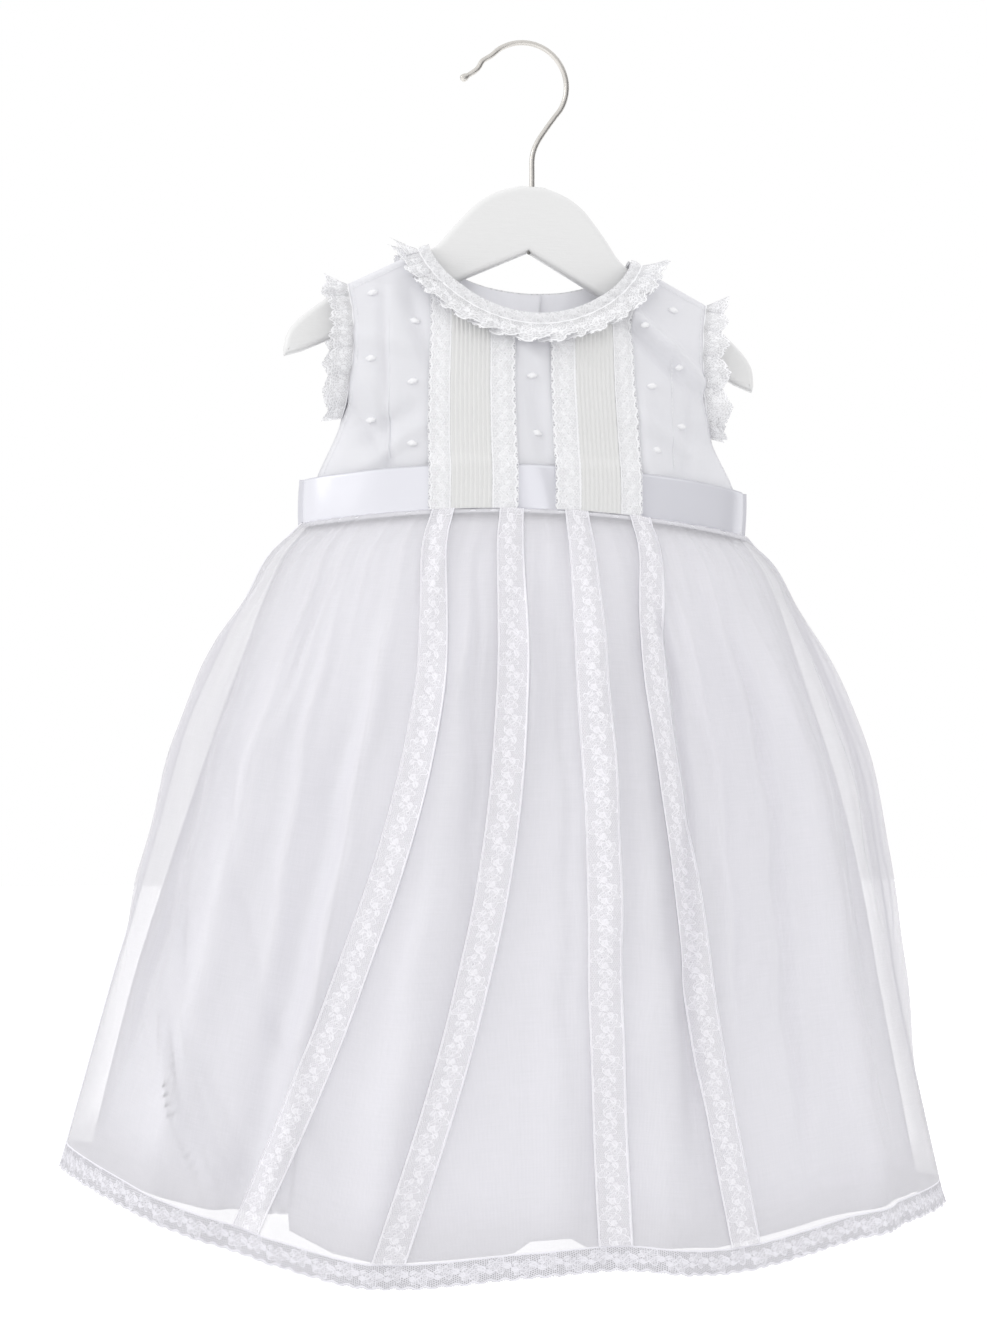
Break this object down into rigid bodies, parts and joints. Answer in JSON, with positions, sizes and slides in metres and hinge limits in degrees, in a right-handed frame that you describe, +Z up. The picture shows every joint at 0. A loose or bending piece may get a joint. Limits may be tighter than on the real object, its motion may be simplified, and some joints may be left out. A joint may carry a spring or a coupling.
{
  "type": "organza dress on hanger",
  "caption": "Sleeveless baby occasion dress: gathered sheer organza over a plain lining, lace ruffles and insertions, tucked bodice and satin sash, hung on a wooden hanger with a wire hook.",
  "frame": {"origin": "the inside top of the hanger's wire hook, where a rail carries it", "axes": "+Z up; the front of the dress faces -Y; +X is to the viewer's right as seen from the front"},
  "size_m": [0.534, 0.1881, 0.7283],
  "materials": {
    "white_cotton": "plain fine cotton, matte",
    "tucked_cotton": "fine cotton with narrow raised tucks, matte",
    "organza": "sheer crisp organza, faint sheen",
    "lace": "fine cotton lace",
    "satin": "smooth satin ribbon",
    "pearl_button": "pearly gloss",
    "white_paint": "white satin paint over wood",
    "brushed_nickel": "brushed nickel plate"
  },
  "bodies": {
    "root": {"armhole_ruffle_left": "lace", "armhole_ruffle_right": "lace", "bodice_back_left": "white_cotton", "bodice_back_right": "white_cotton", "bodice_front": "white_cotton", "bodice_lace_left_inner": "lace", "bodice_lace_left_outer": "lace", "bodice_lace_right_inner": "lace", "bodice_lace_right_outer": "lace", "button_1": "pearl_button", "button_2": "pearl_button", "button_3": "pearl_button", "hanger_body": "white_paint", "hanger_hook": "brushed_nickel", "hem_lace_back": "lace", "hem_lace_front": "lace", "lining_back": "white_cotton", "lining_front": "white_cotton", "neck_band_back": "lace", "neck_band_front": "lace", "neck_ruffle_back": "lace", "neck_ruffle_front": "lace", "organza_back": "organza", "organza_front": "organza", "sash": "satin", "skirt_lace_a": "lace", "skirt_lace_b": "lace", "skirt_lace_c": "lace", "skirt_lace_d": "lace", "tuck_panel_left": "tucked_cotton", "tuck_panel_right": "tucked_cotton", "waist_piping": "white_cotton"}
  },
  "joints": []
}
